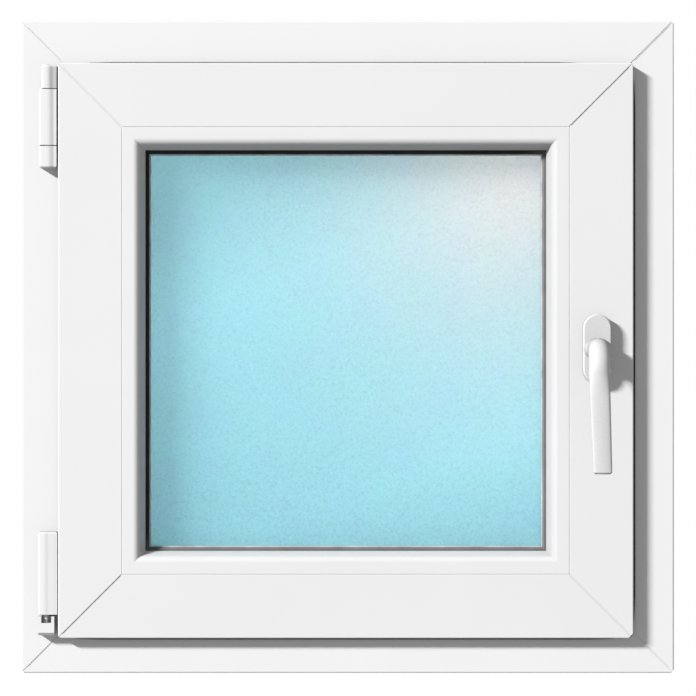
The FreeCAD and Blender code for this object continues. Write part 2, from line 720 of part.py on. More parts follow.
def corner_sleeve():
    """The moulded sleeve over the sash's corner hinge: rounded to the left, with a front groove."""
    body = new_body("bottom_hinge_sleeve")
    front = "-sizes.barrel_radius"
    outline = sketch_on(body, "XY_Plane", "corner_sleeve_outline")
    add_rectangle(outline, "-sizes.corner_sleeve_left", HINGE_EDGE, front, "sizes.barrel_radius")
    sleeve = add_pad(body, outline, "corner_sleeve", "sizes.corner_sleeve_height")
    corner = {0: -number("sizes.corner_sleeve_left"), 1: number(front)}
    names = edge_names(sleeve.Shape, lambda edge: runs_along(edge, 2, corner))
    rounded = add_fillet(body, sleeve, names, "corner_sleeve_side", "sizes.corner_sleeve_round")
    top = number("sizes.corner_sleeve_height")

    def is_top_front(edge):
        middle = edge.valueAt((edge.FirstParameter + edge.LastParameter) / 2)
        return lies_at(edge, 2, top) and abs(middle.y - number(front)) < 0.001

    names = edge_names(rounded.Shape, is_top_front)
    add_chamfer(body, rounded, names, "corner_sleeve_top", "sizes.corner_sleeve_cap")
    groove = sketch_on(body, "XY_Plane", "corner_sleeve_groove_outline")
    add_rectangle(groove, "0", "sizes.corner_sleeve_groove",
                  f"{front} - 1", f"{front} + sizes.corner_sleeve_groove_depth")
    add_pocket(body, groove, "corner_sleeve_groove")
    return body


def build_bottom_hinge():
    """The corner bearing at the foot of the hinge side, which carries the sash's weight."""
    block_low = f"({SASH_BOTTOM} + sizes.pivot_block_lift)"
    block = pivot_block()
    place(block, HINGE_X, HINGE_Y, block_low)
    sleeve = corner_sleeve()
    leaf(sleeve, "sizes.corner_sleeve_height", with_return=True)
    bore_knuckle(sleeve, "sizes.pivot_pin_radius", "sizes.pivot_pin_entry + sizes.pin_clearance")
    place(sleeve, HINGE_X, HINGE_Y, f"{SASH_BOTTOM} + {CORNER_SLEEVE_LIFT}")
    pin_low = f"({block_low} + sizes.pivot_block_height - sizes.pivot_notch_height)"
    hinge_pin("bottom_hinge_pivot", "sizes.pivot_pin_radius", pin_low,
              "sizes.pivot_notch_height + sizes.corner_sleeve_gap + sizes.pivot_pin_entry")


# Handle. Its axis runs along Y through the rosette. Places are measured from the sash's face.


def rosette():
    """The rounded plate on the sash that the lever turns in."""
    body = new_body("handle_rosette")
    outline = sketch_on(body, "XZ_Plane", "rosette_outline")
    add_slot(outline, "sizes.rosette_width", "sizes.rosette_height")
    plate = add_pad(body, outline, "rosette_plate", "sizes.rosette_thickness")
    front = -number("sizes.rosette_thickness")
    rim = edge_names(plate.Shape, lambda edge: lies_at(edge, 1, front))
    add_chamfer(body, plate, rim, "rosette_rim", "sizes.rosette_bevel")
    collar = sketch_on(body, "XZ_Plane", "collar_circle", "sizes.rosette_thickness")
    add_circle(collar, "0", "0", "sizes.spigot_radius + sizes.pin_clearance")
    add_pocket(body, collar, "collar_bore", "sizes.spigot_depth + sizes.turning_gap")
    through = sketch_on(body, "XZ_Plane", "rosette_hole_circle")
    add_circle(through, "0", "0", "sizes.spindle_hole_radius")
    add_pocket(body, through, "rosette_hole")
    place(body, HANDLE_X, SASH_ROOM, HANDLE_Z)


def lever_section(label, out, drop, turn, wide, thick, lean="0"):
    """One elliptical section of the lever, this far out from the sash and below and beside the axis."""
    ring = doc.addObject("Part::Ellipse", label)
    nearly_round = "0.001"
    ring.setExpression("MajorRadius", f"{wide} + {nearly_round}")
    ring.setExpression("MinorRadius", thick)
    tilt = FreeCAD.Rotation(FreeCAD.Vector(1, 0, 0), 90 + turn)
    ring.Placement = FreeCAD.Placement(FreeCAD.Vector(0, 0, 0), tilt)
    ring.setExpression("Placement.Base.x", f"{HANDLE_X} + {lean}")
    ring.setExpression("Placement.Base.y", f"{SASH_ROOM} - {out}")
    ring.setExpression("Placement.Base.z", f"{HANDLE_Z} - {drop}")
    return ring


def lever_loft(label, rings, ruled):
    """A closed solid through the lever's sections."""
    loft = doc.addObject("Part::Loft", label)
    loft.Sections = rings
    loft.Solid = True
    loft.Ruled = ruled
    doc.recompute()
    return loft


def lever_bend(straight):
    """The quarter bend, which flattens from the round neck to the grip's section."""
    rings = []
    steps = 4
    for step in range(steps + 1):
        turn = 90 * step / steps
        share = step / steps
        wide = f"(sizes.neck_radius + (sizes.grip_width / 2 - sizes.neck_radius) * {share})"
        thick = f"(sizes.neck_radius + (sizes.grip_thickness / 2 - sizes.neck_radius) * {share})"
        out = f"({straight} + sizes.bend_radius * sin({turn} deg))"
        drop = f"(sizes.bend_radius * (1 - cos({turn} deg)))"
        lean = f"-sizes.grip_lean_in * {share}"
        rings.append(lever_section(f"bend_section_{step}", out, drop, turn, wide, thick, lean))
    return lever_loft("lever_bend", rings, False)


def lever_grip(front):
    """The straight tapering grip, which leans a little towards the jamb, with a bevelled end."""
    rings = [
        lever_section("grip_section_top", front, "sizes.bend_radius", 90,
                      "sizes.grip_width / 2", "sizes.grip_thickness / 2", "-sizes.grip_lean_in"),
        lever_section("grip_section_end", front, "sizes.grip_reach", 90,
                      "sizes.grip_end_width / 2", "sizes.grip_end_thickness / 2", "sizes.grip_lean_out"),
    ]
    grip = lever_loft("lever_grip", rings, True)
    level = number(f"{HANDLE_Z} - sizes.grip_reach")
    rim = [index for index, edge in enumerate(grip.Shape.Edges, start=1) if lies_at(edge, 2, level)]
    bevelled = doc.addObject("Part::Chamfer", "lever_bevelled_grip")
    bevelled.Base = grip
    bevel = number("sizes.grip_end_bevel")
    bevelled.Edges = [(index, bevel, bevel) for index in rim]
    return bevelled


def lever():
    """The lever: a neck that is wide at the rosette and bends down into a flattened, tapering grip."""
    start = "(sizes.rosette_thickness + sizes.turning_gap)"
    straight = f"({start} + sizes.neck_reach)"
    spigot_end = "(sizes.rosette_thickness - sizes.spigot_depth)"
    neck = lever_loft("lever_neck", [
        lever_section("neck_section_start", start, "0", 0, "sizes.neck_base_radius", "sizes.neck_radius"),
        lever_section("neck_section_end", straight, "0", 0, "sizes.neck_radius", "sizes.neck_radius"),
    ], True)
    spigot = doc.addObject("Part::Cylinder", "lever_spigot")
    spigot.setExpression("Radius", "sizes.spigot_radius")
    spigot.setExpression("Height", "sizes.spigot_depth + sizes.turning_gap")
    lay_along_depth(spigot, f"{SASH_ROOM} - {spigot_end}")
    joined = doc.addObject("Part::MultiFuse", "lever_solid")
    joined.Shapes = [neck, spigot, lever_bend(straight), lever_grip(f"({straight} + sizes.bend_radius)")]
    joined.Refine = True
    socket = spindle_bar("lever_socket", spigot_end, "sizes.spindle_socket")
    body = doc.addObject("Part::Cut", "handle_lever")
    body.Label = "handle_lever"
    body.Base = joined
    body.Tool = socket


def lay_along_depth(cylinder, start):
    """Lays a cylinder on the handle's axis, running towards the room."""
    cylinder.Placement = FreeCAD.Placement(
        FreeCAD.Vector(0, 0, 0),
        FreeCAD.Rotation(FreeCAD.Vector(1, 0, 0), 90),
    )
    cylinder.setExpression("Placement.Base.x", HANDLE_X)
    cylinder.setExpression("Placement.Base.y", start)
    cylinder.setExpression("Placement.Base.z", HANDLE_Z)


def spindle_bar(label, start, length):
    """A square bar on the handle's axis that starts this far out from the sash's face."""
    bar = doc.addObject("Part::Box", label)
    bar.setExpression("Length", "sizes.spindle_side")
    bar.setExpression("Width", length)
    bar.setExpression("Height", "sizes.spindle_side")
    place(bar, f"{HANDLE_X} - sizes.spindle_side / 2", f"{SASH_ROOM} - {start} - {length}",
          f"{HANDLE_Z} - sizes.spindle_side / 2")
    return bar


def build_handle():
    """The rosette, the lever and the square spindle that drives the lock."""
    rosette()
    lever()
    reach = "(sizes.rosette_thickness - sizes.spigot_depth + sizes.spindle_socket)"
    spindle = spindle_bar("handle_spindle", f"({reach} - sizes.spindle_length)",
                          "sizes.spindle_length")
    spindle.Label = "handle_spindle"


def build_drain_caps():
    """Two caps over the drain slots on the outside of the sill."""
    for label, side in (("drain_cap_left", "-"), ("drain_cap_right", "")):
        cap = new_body(label)
        outline = sketch_on(cap, "XZ_Plane", f"{label}_outline")
        half = "sizes.drain_cap_length / 2"
        add_rectangle(outline, f"-{half}", half, "0", "sizes.drain_cap_height")
        shell = add_pad(cap, outline, f"{label}_plate", "sizes.drain_cap_thickness", reverse=True)
        deep = {1: number("sizes.drain_cap_thickness"), 2: number("sizes.drain_cap_height")}
        names = edge_names(shell.Shape, lambda edge: runs_along(edge, 0, deep))
        add_fillet(cap, shell, names, f"{label}_hood", "sizes.drain_cap_round")
        place(cap, f"{side}sizes.drain_cap_spacing / 2", FRAME_BACK, "sizes.drain_cap_lift")


NODES = [
    "frame_head", "frame_sill", "frame_jamb_left", "frame_jamb_right", "frame_seal",
    "sash_top_rail", "sash_bottom_rail", "sash_hinge_stile", "sash_lock_stile", "sash_seal",
    "bead_top", "bead_bottom", "bead_left", "bead_right",
    "inner_pane", "outer_pane", "spacer_frame", "glazing_gasket_inside", "glazing_gasket_outside",
    "top_hinge_stay_arm", "top_hinge_cap", "top_hinge_bearing", "top_hinge_pin",
    "bottom_hinge_bearing", "bottom_hinge_pivot", "bottom_hinge_sleeve",
    "handle_rosette", "handle_lever", "handle_spindle",
    "drain_cap_left", "drain_cap_right",
]


def check_and_write():
    """Stops on a failed feature or a broken solid, and otherwise writes each node."""
    doc.recompute()
    for item in doc.Objects:
        if "Invalid" in item.State or "Error" in item.State:
            raise RuntimeError(f"{item.Name} failed: {item.State}")
    shapes = {}
    for label in NODES:
        shape = doc.getObjectsByLabel(label)[0].Shape
        if shape.isNull() or not shape.isValid() or not shape.Solids:
            raise RuntimeError(f"{label} is not a valid solid")
        shapes[label] = shape
    os.makedirs("parts", exist_ok=True)
    for label, shape in shapes.items():
        shape.exportStep(f"parts/{label}.step")


build_frame()
build_sash()
build_beads()
build_glazing()
build_seals()
build_top_hinge()
build_bottom_hinge()
build_handle()
build_drain_caps()
check_and_write()
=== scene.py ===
import math

import bmesh
import bpy
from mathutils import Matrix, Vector


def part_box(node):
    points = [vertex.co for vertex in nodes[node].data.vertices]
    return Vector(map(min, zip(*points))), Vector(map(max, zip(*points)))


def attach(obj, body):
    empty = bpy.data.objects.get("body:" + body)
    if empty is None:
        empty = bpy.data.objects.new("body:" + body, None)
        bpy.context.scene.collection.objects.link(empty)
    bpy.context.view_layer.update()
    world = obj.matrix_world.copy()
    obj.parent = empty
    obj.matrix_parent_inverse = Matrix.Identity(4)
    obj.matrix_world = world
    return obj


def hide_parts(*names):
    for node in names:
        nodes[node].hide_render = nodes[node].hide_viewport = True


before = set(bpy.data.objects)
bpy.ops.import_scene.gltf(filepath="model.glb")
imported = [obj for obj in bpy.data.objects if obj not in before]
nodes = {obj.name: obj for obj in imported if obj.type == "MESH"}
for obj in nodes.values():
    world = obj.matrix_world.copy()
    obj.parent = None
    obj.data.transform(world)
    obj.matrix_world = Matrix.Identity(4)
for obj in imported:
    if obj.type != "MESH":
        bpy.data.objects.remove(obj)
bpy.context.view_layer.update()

# Sizes and places are in metres unless a comment says otherwise. The room is at -Y and outdoors at +Y.


# Helpers for material nodes

def link(tree, source, target):
    tree.links.new(source, target)


def add(tree, kind, **values):
    """A node with its properties set."""
    node = tree.nodes.new(kind)
    for key, value in values.items():
        setattr(node, key, value)
    return node


def new_material(name):
    """An empty node material with a Principled shader. Gives the material, its tree and the shader."""
    material = bpy.data.materials.new(name)
    material.use_nodes = True
    tree = material.node_tree
    tree.nodes.clear()
    shader = add(tree, "ShaderNodeBsdfPrincipled")
    output = add(tree, "ShaderNodeOutputMaterial")
    link(tree, shader.outputs["BSDF"], output.inputs["Surface"])
    return material, tree, shader


def object_place(tree, scale=(1, 1, 1)):
    """Object coordinates, stretched by a scale."""
    coordinates = add(tree, "ShaderNodeTexCoord")
    mapping = add(tree, "ShaderNodeMapping")
    mapping.inputs["Scale"].default_value = scale
    link(tree, coordinates.outputs["Object"], mapping.inputs["Vector"])
    return mapping.outputs["Vector"]


def drawn_out(along, share):
    """A scale that draws a texture out into lines along one axis."""
    return [share if axis == along else 1.0 for axis in "xyz"]


def split_axes(tree, place):
    """The X, Y and Z of a place, by their names."""
    node = add(tree, "ShaderNodeSeparateXYZ")
    link(tree, place, node.inputs["Vector"])
    return node.outputs


def reach_along(tree, place, direction):
    """How far a place lies along a direction."""
    node = add(tree, "ShaderNodeVectorMath", operation="DOT_PRODUCT")
    link(tree, place, node.inputs[0])
    node.inputs[1].default_value = direction
    return node.outputs["Value"]


def noise(tree, place, scale, detail=2, roughness=0.5, distortion=0.0):
    """The value of a noise texture. Its scale is in cells per metre."""
    texture = add(tree, "ShaderNodeTexNoise")
    texture.inputs["Distortion"].default_value = distortion
    texture.inputs["Scale"].default_value = scale
    texture.inputs["Detail"].default_value = detail
    texture.inputs["Roughness"].default_value = roughness
    link(tree, place, texture.inputs["Vector"])
    return texture.outputs["Fac"]


def ramp(tree, value, stops):
    """A colour ramp through stops of place and colour."""
    node = add(tree, "ShaderNodeValToRGB")
    elements = node.color_ramp.elements
    while len(elements) < len(stops):
        elements.new(0.5)
    for element, (place, colour) in zip(elements, stops):
        element.position = place
        element.color = (*colour, 1)
    link(tree, value, node.inputs["Fac"])
    return node.outputs["Color"]


def remap(tree, value, low, high, start=0.0, end=1.0):
    """Maps a value from the range of start to end into the range of low to high, clamped."""
    node = add(tree, "ShaderNodeMapRange")
    node.inputs["From Min"].default_value = start
    node.inputs["From Max"].default_value = end
    node.inputs["To Min"].default_value = low
    node.inputs["To Max"].default_value = high
    link(tree, value, node.inputs["Value"])
    return node.outputs["Result"]


# Most values of a noise lie between these two.
NOISE_LOW = 0.3
NOISE_HIGH = 0.7


def colour_over(tree, texture, low, high):
    """A colour that goes from low to high with a noise."""
    return ramp(tree, texture, [(NOISE_LOW, low), (NOISE_HIGH, high)])


def number_over(tree, texture, low, high):
    """A number that goes from low to high with a noise."""
    return remap(tree, texture, low, high, NOISE_LOW, NOISE_HIGH)


def mix(tree, first, second, share):
    """Goes from the first colour to the second by a share, which is another node's value."""
    node = add(tree, "ShaderNodeMix", data_type="RGBA")
    link(tree, share, node.inputs["Factor"])
    link(tree, first, node.inputs["A"])
    link(tree, second, node.inputs["B"])
    return node.outputs["Result"]


def multiply(tree, first, second):
    """One colour times another."""
    node = add(tree, "ShaderNodeMix", data_type="RGBA", blend_type="MULTIPLY")
    node.inputs["Factor"].default_value = 1
    link(tree, first, node.inputs["A"])
    link(tree, second, node.inputs["B"])
    return node.outputs["Result"]


def bump(tree, shader, height, strength, distance, before=None):
    """Fine relief from a height, on top of the relief that came before."""
    node = add(tree, "ShaderNodeBump")
    node.inputs["Strength"].default_value = strength
    node.inputs["Distance"].default_value = distance
    link(tree, height, node.inputs["Height"])
    if before:
        link(tree, before, node.inputs["Normal"])
    link(tree, node.outputs["Normal"], shader.inputs["Normal"])
    return node.outputs["Normal"]


def grey(value):
    """A colour of the same red, green and blue."""
    return (value, value, value)


# Materials

def upvc(name, light, along, painted_shade_band=None):
    """White window profile: fine extrusion lines along one axis.

    Optional painted shade: an axis, the place where the darker painted face ends, the place where the full
    tone begins, and the tone of the painted shade.
    """
    material, tree, shader = new_material(name)
    lines = noise(tree, object_place(tree, drawn_out(along, 0.012)), scale=900, detail=3, roughness=0.6)
    cloud = noise(tree, object_place(tree), scale=9, detail=3, roughness=0.55)
    grain = noise(tree, object_place(tree), scale=2600, detail=1)
    tone = colour_over(tree, cloud, grey(light - 0.008), grey(light + 0.004))
    # Painted shade: one face gets a darker tone, chosen by its place along an axis.
    if painted_shade_band:
        axis, ends, begins, painted_shade_tone = painted_shade_band
        painted_shade_colour = colour_over(tree, cloud, grey(painted_shade_tone), grey(painted_shade_tone + 0.02))
        share = remap(tree, split_axes(tree, object_place(tree))[axis], 1, 0, ends, begins)
        tone = mix(tree, tone, painted_shade_colour, share)
    link(tree, tone, shader.inputs["Base Color"])
    link(tree, number_over(tree, cloud, 0.34, 0.44), shader.inputs["Roughness"])
    shader.inputs["Specular IOR Level"].default_value = 0.35
    first = bump(tree, shader, lines, strength=0.10, distance=0.00004)
    bump(tree, shader, grain, strength=0.08, distance=0.00002, before=first)
    return material


def moulded_cover(name, light):
    """White moulded hinge cover with a fine even spark-eroded grain."""
    material, tree, shader = new_material(name)
    grain = noise(tree, object_place(tree), scale=3200)
    cloud = noise(tree, object_place(tree), scale=40)
    tone = colour_over(tree, cloud, grey(light - 0.012), grey(light + 0.004))
    link(tree, tone, shader.inputs["Base Color"])
    link(tree, number_over(tree, grain, 0.28, 0.38), shader.inputs["Roughness"])
    shader.inputs["Specular IOR Level"].default_value = 0.45
    bump(tree, shader, grain, strength=0.12, distance=0.00003)
    return material


def enamel(name, light):
    """White powder coat over cast metal, with a soft orange-peel surface."""
    material, tree, shader = new_material(name)
    peel = noise(tree, object_place(tree), scale=700, roughness=0.4)
    cloud = noise(tree, object_place(tree), scale=30)
    tone = colour_over(tree, cloud, grey(light - 0.01), grey(light + 0.003))
    link(tree, tone, shader.inputs["Base Color"])
    link(tree, number_over(tree, peel, 0.24, 0.33), shader.inputs["Roughness"])
    shader.inputs["Coat Weight"].default_value = 0.25
    shader.inputs["Coat Roughness"].default_value = 0.12
    bump(tree, shader, peel, strength=0.10, distance=0.00005)
    return material


def steel(name, along):
    """Zinc-plated steel with drawn lines along one axis."""
    material, tree, shader = new_material(name)
    lines = noise(tree, object_place(tree, drawn_out(along, 0.03)), scale=2200, detail=3, roughness=0.6)
    link(tree, colour_over(tree, lines, grey(0.46), grey(0.66)), shader.inputs["Base Color"])
    link(tree, number_over(tree, lines, 0.26, 0.42), shader.inputs["Roughness"])
    shader.inputs["Metallic"].default_value = 1
    bump(tree, shader, lines, strength=0.15, distance=0.00003)
    return material


# Painted light on a seal: it goes from dark to pale between these two values of X minus Z.
PAINTED_LIGHT_FROM = -0.315
PAINTED_LIGHT_TO = -0.285


def rubber(name, dark, painted_light_tone=None):
    """Black seal rubber with a cloudy tone, and maybe painted light that makes it paler along the right and
    lower runs.
    """
    material, tree, shader = new_material(name)
    grain = noise(tree, object_place(tree), scale=1800, detail=3, roughness=0.6)
    cloud = noise(tree, object_place(tree), scale=60, detail=3)
    tone = colour_over(tree, cloud, grey(dark), grey(dark * 1.7))
    # Painted light: paler towards the right and lower runs.
    if painted_light_tone:
        to_right_and_down = reach_along(tree, object_place(tree), (1, 0, -1))
        share = remap(tree, to_right_and_down, 0, 1, PAINTED_LIGHT_FROM, PAINTED_LIGHT_TO)
        tone = mix(tree, tone, colour_over(tree, cloud, grey(painted_light_tone), grey(painted_light_tone * 1.3)), share)
    link(tree, tone, shader.inputs["Base Color"])
    link(tree, number_over(tree, grain, 0.55, 0.75), shader.inputs["Roughness"])
    shader.inputs["Specular IOR Level"].default_value = 0.3
    bump(tree, shader, grain, strength=0.2, distance=0.00004)
    return material


def spacer_bar(name):
    """Bare aluminium spacer with rolled lines."""
    material, tree, shader = new_material(name)
    lines = noise(tree, object_place(tree, (1, 40, 1)), scale=60)
    link(tree, colour_over(tree, lines, grey(0.52), grey(0.68)), shader.inputs["Base Color"])
    link(tree, number_over(tree, lines, 0.35, 0.5), shader.inputs["Roughness"])
    shader.inputs["Metallic"].default_value = 0.9
    bump(tree, shader, lines, strength=0.1, distance=0.00003)
    return material


# The frosted pane: where its painted glow is palest and how it fades around that spot, how its painted shade
# changes with the height, where the left edge gets painted shade, and the tones of its grain.
PAINTED_GLOW_CENTRE = (0.155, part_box("outer_pane")[0].y, 0.445)
PAINTED_GLOW_NEAR = 0.025
PAINTED_GLOW_FAR = 0.425
PAINTED_GLOW_WANDER = 0.05
CYAN_AND_PAINTED_GLOW_COLOURS = [
    (0.0, (0.88, 0.88, 0.885)),
    (0.33, (0.60, 0.87, 0.94)),
    (0.5, (0.50, 0.87, 0.97)),
    (0.7, (0.445, 0.87, 0.98)),
    (1.0, (0.42, 0.87, 1.0)),
]
SHADE_DIRECTION = (-0.35, 0, 1)
SHADE_LOW = 0.1
SHADE_HIGH = 0.5
SHADE_TONES = [
    (0.0, grey(1.0)),
    (0.15, grey(0.99)),
    (0.26, grey(0.92)),
    (0.49, grey(0.85)),
    (0.715, grey(0.835)),
    (0.84, grey(0.76)),
    (0.96, grey(0.68)),
]
DARK_EDGE_X = (-0.178, -0.125)
DARK_EDGE_Z = (0.14, 0.26)
DARK_EDGE_TONE = 0.93
FLECK_TONES = [(0.36, grey(0.80)), (0.48, grey(0.92)), (0.56, grey(0.93)), (0.68, grey(1.0))]
DRIFT_TINTS = [(0.34, (0.965, 1.0, 0.965)), (0.5, (0.985, 0.99, 0.985)), (0.66, (1.0, 0.97, 1.0))]


def pane_painted_glow(tree, place):
    """A painted glow: a pale spot at the top right that deepens to cyan around it, with an outline that
    wanders a little.
    """
    away = add(tree, "ShaderNodeVectorMath", operation="DISTANCE")
    link(tree, place, away.inputs[0])
    away.inputs[1].default_value = PAINTED_GLOW_CENTRE
    wander = add(tree, "ShaderNodeMath", operation="MULTIPLY_ADD")
    link(tree, noise(tree, place, scale=7), wander.inputs[0])
    wander.inputs[1].default_value = PAINTED_GLOW_WANDER
    link(tree, away.outputs["Value"], wander.inputs[2])
    return ramp(tree, remap(tree, wander.outputs["Value"], 0, 1, PAINTED_GLOW_NEAR, PAINTED_GLOW_FAR), CYAN_AND_PAINTED_GLOW_COLOURS)


def pane_shade(tree, place):
    """Painted shade, darker towards the top."""
    height = reach_along(tree, place, SHADE_DIRECTION)
    return ramp(tree, remap(tree, height, 0, 1, SHADE_LOW, SHADE_HIGH), SHADE_TONES)


def pane_dark_edge(tree, place):
    """Painted shade, slightly darker along the left edge, above its lower end."""
    axes = split_axes(tree, place)
    both = add(tree, "ShaderNodeMath", operation="MULTIPLY")
    link(tree, remap(tree, axes["X"], 1, 0, *DARK_EDGE_X), both.inputs[0])
    link(tree, remap(tree, axes["Z"], 0, 1, *DARK_EDGE_Z), both.inputs[1])
    return ramp(tree, both.outputs["Value"], [(0.0, grey(1.0)), (1.0, grey(DARK_EDGE_TONE))])


def frosted(name):
    """Cyan obscured glass: a painted glow to the top right, painted shade towards the top and along the left
    edge, and a fine sparkling grain all over.
    """
    material, tree, shader = new_material(name)
    place = object_place(tree)
    # Painted glow and painted shade make up the pane's base colour, before its grain.
    toned = multiply(tree, pane_painted_glow(tree, place), pane_dark_edge(tree, place))
    toned = multiply(tree, toned, pane_shade(tree, place))
    flecks = noise(tree, place, scale=390, roughness=0.6, distortion=0.8)
    drift = noise(tree, place, scale=26, detail=3, roughness=0.6)
    grained = multiply(tree, ramp(tree, flecks, FLECK_TONES), ramp(tree, drift, DRIFT_TINTS))
    link(tree, multiply(tree, toned, grained), shader.inputs["Base Color"])
    link(tree, number_over(tree, flecks, 0.30, 0.48), shader.inputs["Roughness"])
    shader.inputs["Transmission Weight"].default_value = 0.52
    shader.inputs["IOR"].default_value = 1.5
    bump(tree, shader, flecks, strength=0.5, distance=0.0003)
    return material


def clear(name):
    """Clear float glass with a faint green tint and a hardly seen waviness."""
    material, tree, shader = new_material(name)
    wave = noise(tree, object_place(tree), scale=12, detail=1)
    tint = colour_over(tree, wave, (0.93, 0.98, 0.96), (0.96, 1.0, 0.98))
    link(tree, tint, shader.inputs["Base Color"])
    link(tree, number_over(tree, wave, 0.01, 0.03), shader.inputs["Roughness"])
    shader.inputs["Transmission Weight"].default_value = 1
    shader.inputs["IOR"].default_value = 1.5
    shader.inputs["Alpha"].default_value = 0.05
    bump(tree, shader, wave, strength=0.05, distance=0.0002)
    return material


FRAME_WHITE = 0.90
SASH_WHITE = 0.86

# Painted shade darkens the faces that the light meets more squarely: two of the frame's flanks, and two
# slopes of the beads. Each has an axis, the place where the painted shade ends, the place where the full tone
# begins, and its tone.
LEFT_FLANK_PAINTED_SHADE = ("X", -0.29985, -0.29965, 0.58)
TOP_FLANK_PAINTED_SHADE = ("Z", 0.59985, 0.59965, 0.70)
RIGHT_SLOPE_PAINTED_SHADE = ("X", 0.1885, 0.1935, 0.63)
LOWER_SLOPE_PAINTED_SHADE = ("Z", 0.1026, 0.1012, 0.80)

materials = {
    "frame_x": upvc("frame_upvc_along_x", FRAME_WHITE, "x"),
    "frame_top": upvc("frame_upvc_top", FRAME_WHITE, "x", TOP_FLANK_PAINTED_SHADE),
    "frame_z": upvc("frame_upvc_along_z", FRAME_WHITE, "z", LEFT_FLANK_PAINTED_SHADE),
    "bead_right": upvc("bead_upvc_right", SASH_WHITE, "z", RIGHT_SLOPE_PAINTED_SHADE),
    "bead_bottom": upvc("bead_upvc_bottom", SASH_WHITE, "x", LOWER_SLOPE_PAINTED_SHADE),
    "sash_x": upvc("sash_upvc_along_x", SASH_WHITE, "x"),
    "sash_z": upvc("sash_upvc_along_z", SASH_WHITE, "z"),
    "weld": upvc("weld_edge_upvc", 0.80, "y"),
    # Painted shadow: the dark hairline in the weld grooves that rise to the right.
    "seam_shadow": upvc("weld_seam_painted_shadow", 0.22, "y"),
    "cover": moulded_cover("hinge_cover", 0.89),
    "bush": moulded_cover("pivot_bush", 0.92),
    "enamel": enamel("handle_enamel", 0.745),
    "steel": steel("spindle_steel", "y"),
    "seal": rubber("seal_rubber", 0.018),
    # The gasket's rubber gets painted light along its right and lower runs.
    "gasket": rubber("gasket_rubber", 0.016, 0.17),
    # The gasket lip's pale tone is a painted highlight.
    "lip": rubber("gasket_lip_rubber", 0.48),
    "spacer": spacer_bar("spacer_metal"),
    "frosted": frosted("frosted_glass"),
    "clear": clear("clear_glass"),
}

FINISHES = {
    "frame_head": "frame_top", "frame_sill": "frame_x",
    "frame_jamb_left": "frame_z", "frame_jamb_right": "frame_z",
    "sash_top_rail": "sash_x", "sash_bottom_rail": "sash_x",
    "sash_hinge_stile": "sash_z", "sash_lock_stile": "sash_z",
    "bead_top": "sash_x", "bead_bottom": "bead_bottom", "bead_left": "sash_z", "bead_right": "bead_right",
    "frame_seal": "seal", "sash_seal": "seal",
    "glazing_gasket_inside": "gasket", "glazing_gasket_outside": "gasket",
    "spacer_frame": "spacer", "inner_pane": "clear", "outer_pane": "frosted",
    "top_hinge_stay_arm": "cover", "top_hinge_cap": "cover", "top_hinge_bearing": "cover",
    "bottom_hinge_bearing": "cover", "bottom_hinge_sleeve": "cover",
    "top_hinge_pin": "bush", "bottom_hinge_pivot": "bush",
    "handle_rosette": "enamel", "handle_lever": "enamel", "handle_spindle": "steel",
    "drain_cap_left": "frame_x", "drain_cap_right": "frame_x",
}
for name, finish in FINISHES.items():
    mesh = nodes[name].data
    mesh.materials.clear()
    mesh.materials.append(materials[finish])


# Smooth shading over curved faces

# Edges stay sharp from this many degrees, and corners within a micrometre count as one.
SHARP_ANGLE = 28
SPOTS_PER_METRE = 1e6


def smooth_curves(mesh, soften=None):
    """Blends the normals of faces that meet at a slight angle, and leaves real edges sharp."""
    limit = math.cos(math.radians(SHARP_ANGLE))
    spots = [tuple(round(value * SPOTS_PER_METRE) for value in vertex.co) for vertex in mesh.vertices]
    meeting = {}
    for polygon in mesh.polygons:
        for index in polygon.vertices:
            meeting.setdefault(spots[index], []).append(polygon)
    normals = []
    for polygon in mesh.polygons:
        for index in polygon.vertices:
            blended = Vector((0, 0, 0))
            for other in meeting[spots[index]]:
                if polygon.normal.dot(other.normal) > limit:
                    blended += other.normal * other.area
            normal = blended.normalized() if blended.length else polygon.normal.copy()
            normals.append(soften(mesh.vertices[index].co, normal) if soften else normal)
    mesh.shade_smooth()
    mesh.normals_split_custom_set(normals)


# The height where the grip begins, the length over which the change comes in, the share of the sideways lean
# that is kept in mid-face, the power by which it returns towards the edges, and the limit of the room side.
GRIP_TOP = 0.285
GRIP_BLEND = 0.03
GRIP_KEPT = 0.3
GRIP_EDGE_POWER = 6
ROOM_SIDE = -0.05


def flat_grip(spot, normal):
    """Turns the normals of the grip's room side nearer to the room, as on a flatter face."""
    share = min(max((GRIP_TOP - spot.z) / GRIP_BLEND, 0), 1) if normal.y < ROOM_SIDE else 0
    across = abs(normal.x)
    kept = 1 - share + share * (GRIP_KEPT + (1 - GRIP_KEPT) * across ** GRIP_EDGE_POWER)
    return Vector((normal.x * kept, normal.y, normal.z)).normalized()


for name, node in nodes.items():
    smooth_curves(node.data, flat_grip if name == "handle_lever" else None)


# Pieces that are too fine for the solids

FRAME_LOW, FRAME_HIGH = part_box("frame_jamb_left")[0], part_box("frame_jamb_right")[1]
FRAME_FACE = FRAME_LOW.y
SASH_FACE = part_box("sash_hinge_stile")[0].y
SASH_LOW = Vector((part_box("sash_hinge_stile")[0].x, SASH_FACE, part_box("sash_bottom_rail")[0].z))
SASH_HIGH = Vector((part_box("sash_lock_stile")[1].x, SASH_FACE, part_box("sash_top_rail")[1].z))


def skin(shape, near, far):
    """Joins two rings of the same number of points by a belt of faces."""
    count = len(near)
    for index in range(count):
        after = (index + 1) % count
        shape.faces.new((near[index], near[after], far[after], far[index]))


def add_points(shape, rings):
    """The rings as rows of the shape's own vertices."""
    return [[shape.verts.new(point) for point in ring] for ring in rings]


